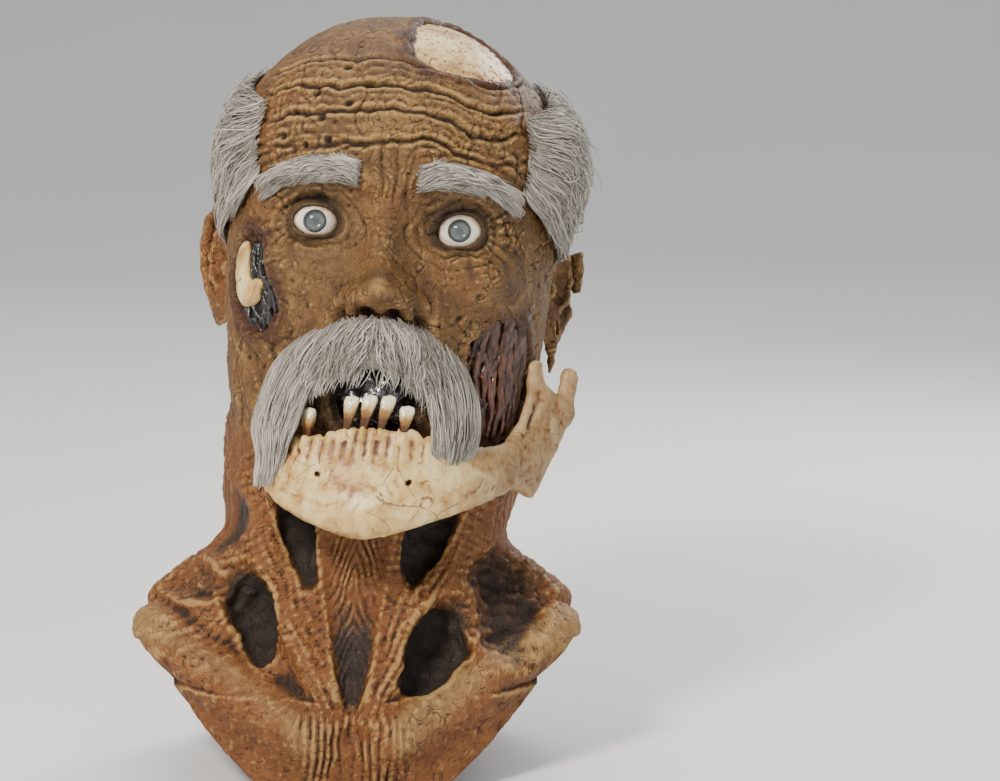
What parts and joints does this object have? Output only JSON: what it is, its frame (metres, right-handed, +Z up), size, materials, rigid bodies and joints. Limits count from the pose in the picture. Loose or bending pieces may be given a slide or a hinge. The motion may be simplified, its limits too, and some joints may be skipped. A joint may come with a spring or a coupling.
{
  "type": "latex halloween mask",
  "caption": "Over-the-head latex corpse mask with neck and collar, resin eyes, bare jawbone with teeth, laid grey hair, brows and moustache.",
  "frame": {"origin": "on the ground under the middle of the mask's bounding box, with the collar's rim standing on the ground", "axes": "+Z up from the rim to the crown, -Y the way the face looks, +X towards the wearer's left"},
  "size_m": [0.2826, 0.2742, 0.4638],
  "materials": {
    "latex": "matt painted latex, brown washes over tan",
    "bone": "stained cast bone, satin",
    "enamel": "glossy stained teeth",
    "hair": "laid light grey hair",
    "flesh": "wet dark red-brown strands",
    "black": "glossy black latex",
    "sclera": "polished cast resin",
    "iris": "clouded grey-blue disc",
    "cornea": "clear polished acrylic",
    "foam": "open-cell foam",
    "putty": "rough filler"
  },
  "bodies": {
    "root": {"brow_left": "hair", "brow_right": "hair", "cheek_flesh": "flesh", "cheek_sinew": "black", "cheekbone": "bone", "crown_pad": "foam", "ear_left": "latex", "ear_right": "latex", "eye_left_backing": "putty", "eye_left_cornea": "cornea", "eye_left_iris": "iris", "eye_left_white": "sclera", "eye_right_backing": "putty", "eye_right_cornea": "cornea", "eye_right_iris": "iris", "eye_right_white": "sclera", "hair_back": "hair", "hair_left": "hair", "hair_right": "hair", "jawbone": "bone", "mask_skin": "latex", "moustache": "hair", "mouth_liner": "black", "skull_plate": "bone", "temple_pad_left": "foam", "temple_pad_right": "foam", "tongue": "black", "tooth_1": "enamel", "tooth_2": "enamel", "tooth_3": "enamel", "tooth_4": "enamel", "tooth_5": "enamel"}
  },
  "joints": []
}
